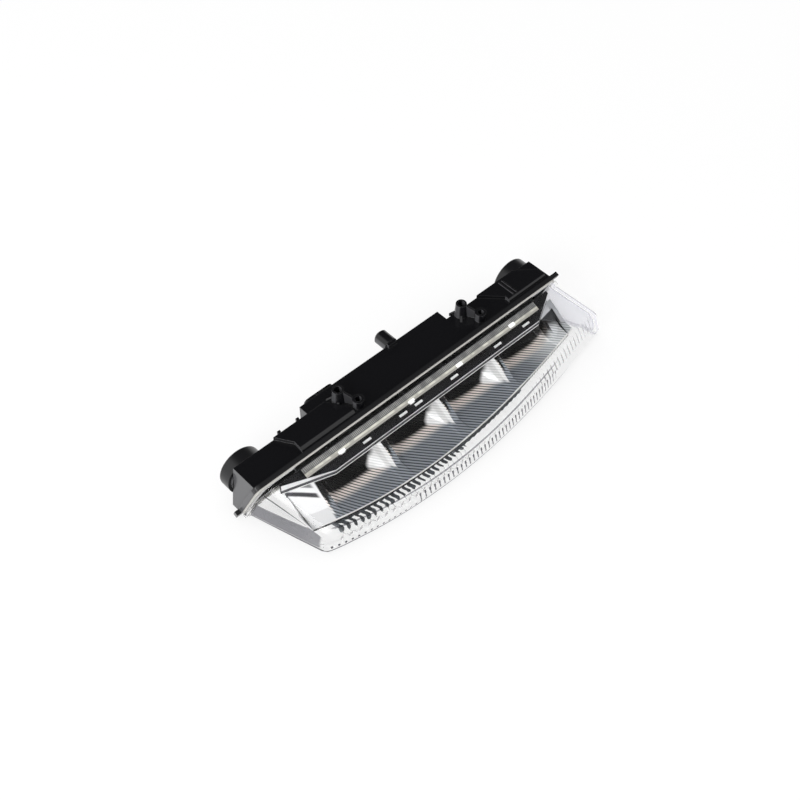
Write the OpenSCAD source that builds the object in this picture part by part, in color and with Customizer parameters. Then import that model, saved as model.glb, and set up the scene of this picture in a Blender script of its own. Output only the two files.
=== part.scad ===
// Daytime running light for a car's front bumper.
// A black moulded housing carries a clear lens shell with a bowed, fluted nose.
// Behind the lens, four reflector bowls hang under a board with four light sources.
// X runs along the lamp, -Y is where the light goes, +Z stands out of the deck.
// The origin lies on the deck, midway between the two fixing bosses.

/* [Housing] */
// Housing beyond the row of bowls at its left end
end_left = 33; // [28:0.5:40]
// Housing beyond the row of bowls at its right end
end_right = 19; // [16:0.5:24]
// Deck from the boss line to its rear edge
deck_back = 14.2; // [13.5:0.1:17]
// Lens joint ahead of the boss line, at deck height
joint_ahead = 7.8; // [7:0.1:9]
// Lean of the lens joint in degrees, its foot further back than its head
lean = 22.5; // [20:0.5:25]
// Deck above the surface that the lamp rests on
base_h = 34; // [30:0.5:40]
// Feet under the tub
foot_h = 2; // [1.5:0.1:3]
// Wall of the housing
wall = 2.2; // [1.8:0.1:2.6]
// How far each end slopes out from the deck to the underside
end_splay = 4.5; // [3:0.5:6]
// Raised pads on the deck
pad_h = 2.4; // [1.5:0.1:3.2]

/* [Rear box] */
// Rear box from the origin to its left end
box_left = 77.5; // [65:0.5:90]
// Rear box from the origin to its right end
box_right = 35.5; // [30:0.5:42]
// Rear box behind the deck's rear edge
box_out = 8.4; // [7:0.1:12]
// Height of the rear box
box_h = 29; // [24:0.5:32]

/* [Fixings] */
// Distance between the two fixing bosses
boss_pitch = 102; // [90:0.5:120]
// Height of a fixing boss over the deck
boss_h = 6; // [5:0.5:8]
// Outer radius of a fixing boss
boss_r = 3.6; // [3.4:0.1:4]
// Bore radius of a fixing boss
boss_bore_r = 2; // [1.6:0.1:2.3]
// Depth of the bore in a fixing boss
boss_depth = 10; // [8:0.5:12]
// Height of a locating tower over the deck
tower_h = 9.5; // [8:0.5:14]
// Radius of a locating tower at its top
tower_r = 3.5; // [3.2:0.1:4]
// Radius of the rear locating peg
peg_r = 4.9; // [4:0.1:5.5]
// Rear locating peg behind the rear box
peg_out = 10.5; // [9:0.5:13]

/* [Lens] */
// Wall of the lens
lens_wall = 2.6; // [2.2:0.1:3]
// Reach of the lens ahead of the joint, where the nose is furthest out
lens_reach = 55.2; // [53:0.1:60]
// Place of the furthest point of the nose, left of the origin
nose_left = 25.6; // [15:0.5:35]
// Radius of the nose's bow, seen from above
bow_r = 370; // [340:5:420]
// Slant of both ends of the lens to the right, in degrees
end_slant = 17; // [10:0.5:18]
// Radius between the lens's top and its left end
round_left = 10; // [6:0.5:12]
// Radius between the lens's top and its right end
round_right = 4; // [4:0.5:8]
// Pitch of the flutes along the nose
flute_pitch = 4.6; // [4:0.1:6]
// Depth of the flutes
flute_depth = 1.2; // [0.8:0.1:1.4]
// Thickness of the lens flange
lens_flange_t = 2.6; // [2.2:0.1:3]
// Thickness of the adhesive bead in the lens joint
bead_t = 1.2; // [0.8:0.1:1.6]

/* [Reflector] */
// Pitch of the bowls
bowl_pitch = 48; // [40:0.5:57]
// Middle of the row of bowls, left of the origin
bowls_left = 4.5; // [2:0.5:7]
// Width of the bright fin between two bowls
fin_w = 6.7; // [5:0.1:9]
// Reflector rim behind the nose of the lens
rim_gap = 14.3; // [13:0.1:16]
// Space between the reflector and the floor of the lens
floor_gap = 2.1; // [1.6:0.1:4]
// Wall of the reflector
reflector_t = 1.8; // [1.4:0.1:2]

/* [Electronics] */
// Thickness of the heat sink plate
plate_t = 2; // [1.5:0.1:2.2]
// Thickness of both circuit boards
board_t = 1.6; // [1:0.1:1.8]
// Side of one light source
led_w = 5; // [3:0.5:6]
// Height of one light source
led_h = 1.4; // [1:0.1:1.6]
// Radius of the small screws' threads
screw_r = 1.3; // [1.1:0.1:1.5]

/* [Connector] */
// Middle of the connector socket, in from the rear box's left end
socket_in = 22.5; // [20:0.5:27]
// Width of the connector socket inside
socket_w = 19; // [16:0.5:22]
// Height of the connector socket inside
socket_h = 9.4; // [9:0.1:9.6]
// Depth of the connector socket
socket_depth = 11; // [9:0.5:14]
// Number of contact blades
contacts = 3; // [2:1:4]

/* [End caps] */
// Outer radius of an end cap
cap_r = 13.9; // [13.2:0.1:14]
// Wall of an end cap
cap_wall = 1.65; // [1.4:0.05:1.9]
// End cap behind the deck's rear edge
cap_out = 9; // [8:0.1:11]
// Axis of an end cap below the deck
cap_drop = 14; // [14:0.1:15]
// Axis of an end cap inside the deck's end
cap_in = 9; // [8.5:0.1:11]

/* [Hidden] */
fine = 48;
gap = 0.25;
eps = 0.01;

// The lamp is as long as its row of bowls and what the housing has beyond it.
bowls = 4;
row_half = bowls * bowl_pitch / 2;
deck_left = bowls_left + row_half + end_left;
deck_right = row_half - bowls_left + end_right;

// Joint plane between housing and lens. It leans, and the lens top stands square on it.
tub_h = base_h - foot_h;
rim_out = 1.5;
rim_top = 0.9;
flange_t = 3;
corner_r = 5;
joint_foot = (base_h - (bead_t + lens_flange_t) * sin(lean)) / cos(lean);
window_in = rim_out + wall;
lens_in = 3.5;

module at_joint() {
    translate([0, -joint_ahead, 0]) rotate([90 + lean, 0, 0]) children();
}

// Extrusion along X of a shape drawn in Y and Z.
module along_x(x0, x1) {
    translate([x0, 0, 0]) rotate([90, 0, 90]) linear_extrude(x1 - x0) children();
}

// Extrusion along Y of a shape drawn in X and Z.
module along_y(y0, y1) {
    translate([0, y1, 0]) rotate([90, 0, 0]) linear_extrude(y1 - y0) children();
}

// Something turned about an axis that points to the rear, drawn upwards from z = 0.
module facing_back(x, y, z) {
    translate([x, y, z]) rotate([-90, 0, 0]) children();
}

module ring(r_out, r_in, h) {
    difference() {
        cylinder(r = r_out, h = h, $fn = fine);
        translate([0, 0, -eps]) cylinder(r = r_in, h = h + 2 * eps, $fn = fine);
    }
}

// Closed solid through a row of rings that have as many points each.
module loft(rings) {
    n = len(rings[0]);
    m = len(rings);
    polyhedron(
        points = [for (r = rings) each r],
        faces = concat(
            [for (i = [0:m - 2], j = [0:n - 1]) [i * n + j, (i + 1) * n + j, (i + 1) * n + (j + 1) % n]],
            [for (i = [0:m - 2], j = [0:n - 1]) [i * n + j, (i + 1) * n + (j + 1) % n, i * n + (j + 1) % n]],
            [[for (j = [0:n - 1]) j]],
            [[for (j = [n - 1:-1:0]) (m - 1) * n + j]]
        )
    );
}

// Polygon corner p between a and b, rounded to radius r in n steps.
function unit(v) = v / norm(v);
function fillet(a, p, b, r, n) =
    let (u = unit(a - p), v = unit(b - p), half = acos(u * v) / 2)
    let (centre = p + unit(u + v) * r / sin(half), reach = r / tan(half))
    let (s = p + u * reach, e = p + v * reach)
    [for (i = [0:n])
        let (d = s + (e - s) * i / n - centre)
        centre + unit(d) * r];

function rounded(pts, r, n = 5) =
    let (m = len(pts))
    [for (i = [0:m - 1]) each fillet(pts[(i + m - 1) % m], pts[i], pts[(i + 1) % m], r, n)];

// HOUSING

// How far an end of the lamp lies out at a depth below the deck.
function splay(depth) = end_splay * depth / tub_h;

// Joint outline in the joint plane, inset by t. Y of the outline runs up the plane.
function joint_outline(t) =
    let (top = rim_top - t, foot = -joint_foot + t)
    let (left = deck_left + rim_out - t, right = deck_right + rim_out - t)
    [[-left, top], [-left - splay(joint_foot * cos(lean)), foot],
     [right + splay(joint_foot * cos(lean)), foot], [right, top]];

module joint_frame(t_out, t_in, w0, w1) {
    at_joint() translate([0, 0, w0]) linear_extrude(w1 - w0) difference() {
        polygon(rounded(joint_outline(t_out), corner_r));
        polygon(rounded(joint_outline(t_in), corner_r - 1));
    }
}

module tub(t, ahead) {
    intersection() {
        along_x(-2 * deck_left, 2 * deck_right) polygon([
            [deck_back - t, -t],
            [-joint_ahead - t * tan(lean) - ahead, -t],
            [-joint_ahead + (tub_h - t) * tan(lean) - ahead, -tub_h + t],
            [deck_back - t, -tub_h + t]
        ]);
        along_y(-4 * base_h, 4 * base_h) polygon([
            [-deck_left + t, 0],
            [-deck_left - end_splay + t, -tub_h],
            [deck_right + end_splay - t, -tub_h],
            [deck_right - t, 0]
        ]);
    }
}

module rear_box(t, ahead) {
    translate([-box_left + t, deck_back - ahead, -box_h + t])
        cube([box_left + box_right - 2 * t, box_out + ahead - t, box_h - 2 * t]);
}

// Raised pads on the deck, each from one end of the deck to a boss.
pad_left = [
    [-deck_left + 29.5, deck_back], [-deck_left + 36.5, 3.4], [-deck_left + 36, -4.6],
    [-boss_pitch / 2 - 5.3, -4.6], [-boss_pitch / 2 - 6, 2.6], [-boss_pitch / 2 - 14.5, deck_back]
];
pad_right = [
    [boss_pitch / 2 + 11, deck_back], [boss_pitch / 2 + 23.6, 1], [boss_pitch / 2 + 23.6, -2.8],
    [deck_right - 2.5, -2.8], [deck_right - 2.5, 3.8], [deck_right - 15.5, deck_back]
];
pad_slope = 3.6;
rib_pair = [deck_right - 30.9, deck_right - 28.1];
rib_t = 0.9;

module pad(plan) {
    intersection() {
        translate([0, 0, -wall / 2]) linear_extrude(pad_h + wall / 2) polygon(plan);
        along_x(-deck_left, deck_right) polygon([
            [deck_back, -wall], [deck_back, pad_h], [pad_slope - joint_ahead + pad_h, pad_h],
            [pad_slope - joint_ahead, 0], [pad_slope - joint_ahead, -wall]
        ]);
    }
}

module deck_pads() {
    pad(pad_left);
    pad(pad_right);
    for (x = rib_pair) translate([x, -1, -wall / 2]) cube([rib_t, deck_back - 1, pad_h + 0.6 + wall / 2]);
}

// Fixing boss with its locating tower, and the web between them.
tower_left = 6;
tower_back = deck_back - 3;
tower_foot_r = tower_r + 0.9;
tower_bore_r = tower_r - 1.1;
tower_bore = 6;
web_t = 1.4;
gusset = 3;

module fixing_solid(x) {
    tower = [x - tower_left, tower_back];
    run = norm([tower_left, tower_back]);
    turn = atan2(-tower_back, tower_left);
    translate([x, 0, -boss_depth + boss_h - wall / 2])
        cylinder(r = boss_r, h = boss_depth + wall / 2, $fn = fine);
    translate([tower[0], tower[1], -wall / 2])
        cylinder(r1 = tower_foot_r, r2 = tower_r, h = tower_h + wall / 2, $fn = fine);
    translate([tower[0], tower[1], 0]) rotate([0, 0, turn]) {
        along_y(-web_t / 2, web_t / 2) polygon([
            [0, -wall / 2], [0, tower_h - 1], [tower_r, tower_h - 1],
            [run - boss_r, boss_h], [run, boss_h], [run, -wall / 2]
        ]);
        for (a = [110, 200, 290]) rotate([0, 0, a]) along_y(-web_t / 2, web_t / 2)
            polygon([[0, -wall / 2], [0, gusset + 2], [tower_foot_r + gusset, 0],
                     [tower_foot_r + gusset, -wall / 2]]);
    }
}

module fixing_bores(x) {
    translate([x, 0, boss_h - boss_depth]) cylinder(r = boss_bore_r, h = boss_depth + 1, $fn = fine);
    translate([x - tower_left, tower_back, tower_h - tower_bore])
        cylinder(r = tower_bore_r, h = tower_bore + 1, $fn = fine);
}

// Peg on the rear box that locates the lamp in the bumper, with a square root in the box's wall.
peg_x = -4.3;
peg_drop = 1;
peg_root = 1.4 * peg_r;
box_back = deck_back + box_out;

module rear_peg() {
    facing_back(peg_x, box_back - eps, -peg_drop) {
        cylinder(r = peg_r, h = peg_out - 1 + eps, $fn = fine);
        translate([0, 0, peg_out - 1]) cylinder(r1 = peg_r, r2 = peg_r - 1, h = 1 + eps, $fn = fine);
    }
    along_y(box_back - wall, box_back + 1)
        polygon(plate_outline(peg_x, -peg_drop, peg_root, peg_root));
}

// Collars on the rear wall, closed by the end caps.
cap_left_x = -deck_left + cap_in;
cap_right_x = deck_right - cap_in;
collar_r = cap_r - cap_wall - gap;
collar_wall = 2.4;
seal_t = 1;
collar_out = cap_out - cap_wall - seal_t;

module collar(x) {
    facing_back(x, deck_back - wall / 2, -cap_drop)
        cylinder(r = collar_r, h = collar_out + wall / 2, $fn = fine);
}

module collar_bore(x) {
    facing_back(x, deck_back - 2 * wall, -cap_drop)
        cylinder(r = collar_r - collar_wall, h = collar_out + 3 * wall, $fn = fine);
}

// Connector socket on the rear box.
socket_x = -box_left + socket_in;
socket_z = -box_h + 8.5;
socket_wall = 1.8;
socket_round = 1.5;
blade_w = 2.8;
blade_t = 0.8;
blade_pitch = 5.2;

function plate_outline(x, z, w, h) =
    [[x - w / 2, z - h / 2], [x + w / 2, z - h / 2], [x + w / 2, z + h / 2], [x - w / 2, z + h / 2]];

module socket_shroud() {
    along_y(box_back - wall, box_back + socket_depth)
        polygon(rounded(plate_outline(socket_x, socket_z, socket_w + 2 * socket_wall,
                                      socket_h + 2 * socket_wall), socket_round + socket_wall));
    along_y(box_back + socket_depth / 3, box_back + socket_depth - 2)
        polygon(plate_outline(socket_x, socket_z + socket_h / 2 + socket_wall + 0.8, 6, 1.6));
}

module socket_hollow() {
    along_y(box_back, box_back + socket_depth + 1)
        polygon(rounded(plate_outline(socket_x, socket_z, socket_w, socket_h), socket_round));
    for (i = [0:contacts - 1]) along_y(box_back - 2 * wall, box_back + 1)
        polygon(plate_outline(blade_x(i), socket_z, blade_w + 2 * gap, blade_t + 2 * gap));
}

function blade_x(i) = socket_x + (i - (contacts - 1) / 2) * blade_pitch;

// Breather on the rear box.
vent_x = box_right - 23.5;
vent_z = -box_h + 12;
vent_r = 3;
vent_bore_r = 1.6;
vent_out = 3.4;

module vent_nipple() {
    facing_back(vent_x, box_back - wall / 2, vent_z)
        cylinder(r = vent_r, h = vent_out + wall / 2, $fn = fine);
}

// Posts under the deck that carry the heat sink plate, and standoffs for the driver board.
post_r = 3.2;
plate_top = -10;
lug_t = 1.5;
post_ahead = -9;
standoff_h = 2.2;
driver_y = box_back - wall - standoff_h - board_t;
driver_z0 = -box_h + 4;
driver_z1 = -5;
driver_x0 = -box_left + 8;
driver_x1 = box_right - 8;
standoff_r = 2.6;
standoff_x = [driver_x0 + 5, driver_x1 - 5];
standoff_z = [driver_z0 + 4, driver_z1 - 4];

function bowl_x(i) = -bowls_left + (i - (bowls - 1) / 2) * bowl_pitch;

post_y = -joint_ahead - post_ahead;
post_z = plate_top + lug_t;

module posts() {
    for (i = [0:bowls - 1]) translate([bowl_x(i), post_y, post_z])
        cylinder(r = post_r, h = -post_z - wall / 2, $fn = fine);
    for (x = standoff_x, z = standoff_z)
        facing_back(x, driver_y + board_t, z)
            cylinder(r = standoff_r, h = box_back - wall / 2 - driver_y - board_t, $fn = fine);
}

module post_bores() {
    for (i = [0:bowls - 1]) translate([bowl_x(i), post_y, post_z - 1])
        cylinder(r = screw_r + eps, h = plate_screw_in + 1.3, $fn = fine);
    for (x = standoff_x, z = standoff_z) facing_back(x, driver_y, z)
        cylinder(r = screw_r + eps, h = board_t + driver_screw_in + 0.3, $fn = fine);
}

// Feet that hold the lamp level, and ribs that stiffen the underside.
feet_x = [-deck_left + 21.5, (deck_right - deck_left) / 2 - 9.5, deck_right - 20.5];
foot_l = 16;
foot_w = 5;
under_ribs = 7;
under_rib_t = 1.6;
hook_from = cap_left_x + cap_r;
hook_x = [for (k = [0.38, 0.8]) hook_from - (box_left + hook_from) * k];

module feet() {
    for (x = feet_x) translate([x - foot_l / 2, deck_back - foot_w, -base_h])
        cube([foot_l, foot_w, foot_h + wall / 2]);
    for (i = [0:under_ribs - 1]) {
        x = -box_left + (box_left + box_right) * (i + 0.5) / under_ribs;
        along_x(x - under_rib_t / 2, x + under_rib_t / 2) polygon([
            [deck_back - wall / 2, -box_h + wall / 2], [box_back - 1, -box_h + wall / 2],
            [deck_back - wall / 2, -tub_h]
        ]);
    }
}

module hooks() {
    for (x = hook_x) along_x(x - 1, x + 1) polygon([
        [deck_back - wall / 2, -4], [deck_back + 3, -4], [deck_back + 3, 0.6],
        [deck_back + 1.8, 0.6], [deck_back + 1.8, -2.6], [deck_back - wall / 2, -2.6]
    ]);
}

// Ears at the flange's corners.
ear_out = 3;

module ears() {
    at_joint() translate([0, 0, -flange_t]) linear_extrude(flange_t) {
        translate([deck_right + rim_out - corner_r, rim_top - 4]) square([corner_r + ear_out, 4]);
        translate([-deck_left - rim_out - splay(joint_foot) - ear_out + 1, -joint_foot])
            square([corner_r + ear_out, 4]);
    }
}

module housing() color("#101114") difference() {
    union() {
        difference() {
            union() {
                tub(0, 0);
                rear_box(0, wall);
                socket_shroud();
                rear_peg();
                collar(cap_left_x);
                collar(cap_right_x);
                feet();
                hooks();
                vent_nipple();
                joint_frame(0, window_in, -flange_t, 0);
                ears();
            }
            tub(wall, base_h);
            rear_box(wall, 2 * wall);
            socket_hollow();
            collar_bore(cap_left_x);
            collar_bore(cap_right_x);
            facing_back(vent_x, box_back - 2 * wall, vent_z)
                cylinder(r = vent_bore_r, h = vent_out + 3 * wall, $fn = fine);
        }
        deck_pads();
        fixing_solid(-boss_pitch / 2);
        fixing_solid(boss_pitch / 2);
        posts();
    }
    fixing_bores(-boss_pitch / 2);
    fixing_bores(boss_pitch / 2);
    post_bores();
}

// LENS

// Reach of the nose ahead of the joint at x, bowed and a little skewed.
bow_skew = 2.93;
function nose(x) =
    let (dx = x + nose_left)
    lens_reach - dx * dx / (2 * bow_r) + bow_skew * pow(dx / 100, 3);

nose_back = 4;
nose_round = 3;
foot_round = 4;
lens_left = -deck_left - rim_out + lens_in;
lens_right = deck_right + rim_out - lens_in;
lens_flare = 4.8;
foot_lift = 0.4;
lens_draft = 0.6;
w_bead = bead_t;
w_wall = bead_t + lens_flange_t;

// Point of a section d down the joint plane and w in front of it, and the d of a level above the base.
function off_joint(d, w) = [w * cos(lean) - d * sin(lean), -w * sin(lean) - d * cos(lean)];
function foot_at(t, w) = (base_h - t - w * sin(lean)) / cos(lean);

// Point of the lens at a station, given its reach ahead of the joint and its height.
function lens_point(x, f, z) =
    let (side = (x - lens_left) / (lens_right - lens_left))
    [x + f * tan(end_slant) - lens_flare * side * z / base_h, -joint_ahead - f, z];

// Point of the lens flange at a station.
function flange_point(x, d, w) =
    let (side = (2 * x + deck_left - deck_right) / (deck_left + deck_right + 2 * rim_out))
    let (p = off_joint(d, w), k = (d + rim_top) / (joint_foot + rim_top))
    [x + side * k * splay(joint_foot * cos(lean)), -joint_ahead - p[0], p[1]];

// Section of the lens wall: drop of its top, inset, height of a flute, band on top, where it starts.
function wall_section(x, drop, t, flute, band, w) =
    let (reach = nose(x + lens_reach * tan(end_slant)) - t - flute, d = drop + t)
    let (a = off_joint(d - band, w), e = off_joint(foot_at(t + foot_lift, w), w))
    let (b = off_joint(d, (reach - nose_back + d * sin(lean)) / cos(lean)), c = [reach, t - base_h])
    let (floor_row = t > 0 ? [for (q = [[6, 0], [8, flute], [14, flute], [16, 0]])
                                  c + (e - c) * q[0] / (c[0] - e[0]) + [0, q[1]]] : [])
    let (band_row = t > 0 ? [] : [off_joint(d - band, w + band_w), off_joint(d, w + band_w + band_h)])
    concat([a], band_row, fillet(a, b, c, nose_round, 2), fillet(b, c, e, foot_round, 2), floor_row, [e]);

function inner_ring(s) =
    [for (p = wall_section(s[0], s[1], lens_wall, s[2], 0, w_bead)) lens_point(s[0], p[0], p[1])];

// Outer ring: the flange's edge, then the wall, laid flat on the flange where the wall has ended.
wall_points = 10;
function outer_ring(x_flange, cut, x, drop, stage, band) =
    let (d0 = -rim_top + cut, d1 = joint_foot - cut, wall = wall_section(x, drop, 0, 0, band, w_wall))
    concat(
        [flange_point(x_flange, d0, w_bead), flange_point(x_flange, d0, w_wall)],
        stage == 0
            ? [for (j = [1:wall_points])
                flange_point(x_flange, d0 + (d1 - d0) * j / (wall_points + 1), w_wall)]
        : stage == 1
            ? [for (j = [0:wall_points - 1])
                let (k = j / (wall_points - 1))
                let (p = off_joint(drop + (foot_at(foot_lift, w_wall) - drop) * k, w_wall))
                lens_point(x, p[0], p[1])]
            : [for (p = wall) lens_point(x, p[0], p[1])],
        [flange_point(x_flange, d1, w_wall), flange_point(x_flange, d1, w_bead)]
    );

// Stations along the wall: place, drop of its top, and a number for its middle part.
function corner(x, r, side) =
    [for (a = [0:22.5:67.5]) [x + side * r * (1 - cos(a)), r * (1 - sin(a)), 0]];
function reversed(v) = [for (i = [len(v) - 1:-1:0]) v[i]];

// Band on top of the lens next to its flange, and the outer stations with its two ends.
band_x0 = lens_left + 26;
band_x1 = lens_right - 22;
band_w = 6.6;
band_h = 0.6;
outer_steps = 24;
outer_stations = concat(
    corner(lens_left, round_left, 1),
    [[lens_left + round_left, 0, 0], [band_x0 - band_h, 0, 0]],
    [for (i = [0:outer_steps]) [band_x0 + (band_x1 - band_x0) * i / outer_steps, 0, band_h]],
    [[band_x1 + band_h, 0, 0], [lens_right - round_right, 0, 0]],
    reversed(corner(lens_right, round_right, -1))
);
flange_l = -deck_left - rim_out;
flange_r = deck_right + rim_out;
flange_turn = [for (a = [0, 30, 60]) corner_r * [1 - cos(a), 1 - sin(a)]];

// Inner stations: two for each flute, closer together towards the right.
squeeze = 0.2;
inner_l = lens_left + round_left;
inner_r = lens_right - round_right;
flutes = floor((inner_r - inner_l) / flute_pitch);
inner_stations = concat(
    corner(lens_left + lens_wall, round_left - lens_wall, 1),
    [for (i = [0:2 * flutes]) let (u = i / (2 * flutes))
        [inner_l + (inner_r - inner_l) * (u + squeeze * u * (1 - u)), 0, i % 2 * flute_depth]],
    reversed(corner(lens_right - lens_wall, round_right - lens_wall, -1))
);

// Faces of a flat strip between two rows of points, given their numbers and their places.
function strip(rows, far, near_x, far_x) =
    let (a = len(rows) - 1, b = len(far) - 1)
    let (seen = [for (x = far_x) max(0, len([for (v = near_x) if (v < x) 1]) - 1)])
    concat(
        [for (i = [0:b - 1]) [far[i], far[i + 1], rows[seen[i]]]],
        [for (i = [0:b]) let (from = i == 0 ? 0 : seen[i - 1])
            if (seen[i] > from) for (q = [from:seen[i] - 1]) [rows[q + 1], rows[q], far[i]]],
        [for (q = [seen[b]:a]) if (q < a) [rows[q + 1], rows[q], far[b]]]
    );
function flip(faces) = [for (f = faces) [f[0], f[2], f[1]]];

// Open-backed shell between an outer and an inner row of rings.
module shell(outer, inner) {
    n = len(outer[0]);
    m = len(inner[0]);
    a = len(outer) - 1;
    b = len(inner) - 1;
    k = (a + 1) * n;
    polyhedron(
        points = concat([for (r = outer) each r], [for (r = inner) each r]),
        faces = concat(
            [for (i = [0:a - 1], j = [0:n - 2]) [i * n + j, (i + 1) * n + j, (i + 1) * n + j + 1]],
            [for (i = [0:a - 1], j = [0:n - 2]) [i * n + j, (i + 1) * n + j + 1, i * n + j + 1]],
            [for (i = [0:b - 1], j = [0:m - 2]) let (q = k + i * m + j) [q, q + m + 1, q + m]],
            [for (i = [0:b - 1], j = [0:m - 2]) let (q = k + i * m + j) [q, q + 1, q + m + 1]],
            [for (j = [1:n - 2]) [0, j, j + 1]],
            [for (j = [1:n - 2]) [a * n, a * n + j + 1, a * n + j]],
            [for (j = [1:m - 2]) [k, k + j + 1, k + j]],
            [for (j = [1:m - 2]) [k + b * m, k + b * m + j, k + b * m + j + 1]],
            strip([for (i = [0:a]) i * n], [for (i = [0:b]) k + i * m],
                  [for (r = outer) r[0][0]], [for (r = inner) r[0][0]]),
            flip(strip([for (i = [0:a]) i * n + n - 1], [for (i = [0:b]) k + i * m + m - 1],
                       [for (r = outer) r[n - 1][0]], [for (r = inner) r[m - 1][0]])),
            [[0, n - 1, k + m - 1, k], [a * n, k + b * m, k + b * m + m - 1, a * n + n - 1]]
        )
    );
}

module lens() color("white", 0.35) shell(
    concat(
        [for (c = flange_turn) outer_ring(flange_l + c[0], c[1], lens_left, round_left, 0, 0)],
        [outer_ring(flange_l + corner_r, 0, lens_left - lens_draft, round_left, 1, 0)],
        [for (s = outer_stations) let (u = (s[0] - lens_left) / (lens_right - lens_left))
            outer_ring(flange_l + corner_r + 1 + (flange_r - flange_l - 2 * corner_r - 2) * u, 0,
                       s[0], s[1], 2, s[2])],
        [outer_ring(flange_r - corner_r, 0, lens_right + lens_draft, round_right, 1, 0)],
        [for (c = reversed(flange_turn)) outer_ring(flange_r - c[0], c[1], lens_right, round_right, 0, 0)]
    ),
    [for (s = inner_stations) inner_ring(s)]
);

bead_w = window_in - 0.6;

module lens_bead() color("#d8d4c4") joint_frame(0.6, 0.6 + bead_w, 0, bead_t);

// REFLECTOR

board_z = plate_top - plate_t - board_t;
bowl_h = base_h - lens_wall - reflector_t + board_z - floor_gap;
bowl_half = (bowl_pitch - fin_w) / 2;
cover_ahead = 13.4;
cover_end_ahead = 3;
cover_x0 = -bowls_left - row_half + 13;
cover_x1 = -bowls_left + row_half - 8;
cover_end_left = lens_left + 12;
cover_end_right = lens_right - 6;
reflector_x0 = cover_end_left + 2;
reflector_x1 = cover_end_right - 2;
bowl_back = -2;
bowl_turn = 16;
fin_run = 14;
fin_fall = bowl_h - 3.9;
rim_z = board_z - bowl_h + 2.5;

// Front edge of the board cover ahead of the joint: straight, falling back at both ends.
function cover_edge(x) =
    x < cover_x0 ? lookup(x, [[cover_end_left, cover_end_ahead], [cover_x0, cover_ahead]])
    : x > cover_x1 ? lookup(x, [[cover_x1, cover_ahead], [cover_end_right, cover_end_ahead]])
    : cover_ahead;

// How open the nearest bowl is at x, for a bowl half as wide as half: 0 at a fin, 1 in its middle.
function bowl_open(x, half) =
    max([for (i = [0:bowls - 1]) let (s = (x - bowl_x(i)) / half) abs(s) < 1 ? sqrt(1 - s * s) : 0]);

// Profile over a fin and profile down the middle of a bowl, with as many points each.
function rim_at(x) = nose(x) - rim_gap;
function fin_profile(x) =
    let (f0 = cover_edge(x) - 0.4, f1 = min(f0 + fin_run, rim_at(x) - 2))
    let (tip = [f1, board_z - fin_fall], rim = [rim_at(x), rim_z])
    concat([for (i = [0:5]) [f0 + (f1 - f0) * i / 5, board_z - fin_fall * pow(i / 5, 1.2)]],
           [for (i = [1:3]) tip + (rim - tip) * i / 3]);
function bowl_profile(x) =
    concat([for (i = [0:5]) [bowl_back + bowl_turn * (1 - cos(18 * i)), board_z - bowl_h * sin(18 * i)]],
           [for (i = [1:3]) let (k = i / 3)
               [bowl_back + bowl_turn + (rim_at(x) - bowl_back - bowl_turn) * k,
                board_z - bowl_h + (rim_z - board_z + bowl_h) * k * k]]);
function reflector_profile(x, open) =
    let (a = fin_profile(x), b = bowl_profile(x))
    [for (i = [0:len(a) - 1]) a[i] + (b[i] - a[i]) * open];

function reflector_ring(x) =
    let (front = reflector_profile(x, bowl_open(x, bowl_half)))
    let (rear = reflector_profile(x, bowl_open(x, bowl_half + reflector_t)))
    let (n = len(front) - 1)
    concat(
        [for (p = front) [x, -joint_ahead - p[0], p[1]]],
        [for (i = [n:-1:0])
            [x, -joint_ahead - rear[i][0] + (i == n ? 0 : reflector_t),
             rear[i][1] - (i == 0 ? 0 : reflector_t)]]
    );

bowl_steps = 9;
reflector_stations = concat(
    [reflector_x0, (reflector_x0 + bowl_x(0) - bowl_half) / 2],
    [for (i = [0:bowls - 1], k = [0:bowl_steps])
        bowl_x(i) - bowl_half * cos(180 * k / bowl_steps)],
    [(reflector_x1 + bowl_x(bowls - 1) + bowl_half) / 2, reflector_x1]
);

// Ears behind the fins, screwed up through the light board into the heat sink plate.
plate_ahead = 9;
ear_w = 5.6;
ear_t = 1.5;
ear_x = [for (i = [0:bowls]) bowl_x(0) + (i - 0.5) * bowl_pitch];

module reflector() color("#d9dade") difference() {
    union() {
        loft([for (x = reflector_stations) reflector_ring(x)]);
        for (x = ear_x) translate([x - ear_w / 2, -joint_ahead - cover_edge(x) + 1, board_z - ear_t])
            cube([ear_w, cover_edge(x) + 1, ear_t]);
    }
    for (x = ear_x) translate([x, board_screw_y, board_z - ear_t - 1])
        cylinder(r = screw_r + gap, h = ear_t + 2, $fn = fine);
}

// BOARD COVER AND HEAT SINK

cover_t = 1.5;
cover_back_z = -4.7;
cover_front_z = -9.1;
cover_foot = 1;
tab_l = 6;
tab_w = 1.2;
tab_h = 0.5;
tab_x = [for (k = [-56.5, -27.5, -15, 15, 53, 78.5]) k - bowls_left];
tab_ahead = 10;
groove_in = 0.5;
groove_h = 2.4;

module cover_plan(inset) {
    y = -joint_ahead;
    polygon([
        [cover_end_left, y - cover_foot], [cover_end_left, y - cover_end_ahead + inset],
        [cover_x0, y - cover_ahead + inset], [cover_x1, y - cover_ahead + inset],
        [cover_end_right, y - cover_end_ahead + inset], [cover_end_right, y - cover_foot]
    ]);
}

cover_slope = (cover_back_z - cover_front_z) / (cover_ahead - cover_foot);

// Point on the cover's top ahead of the joint, up from it, and two points of a line d below it.
function cover_at(ahead, up) =
    [-joint_ahead - ahead, cover_back_z + up - cover_slope * (ahead - cover_foot)];
function cover_line(d) = [cover_at(cover_foot, -d), cover_at(cover_ahead + 1, -d)];

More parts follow.
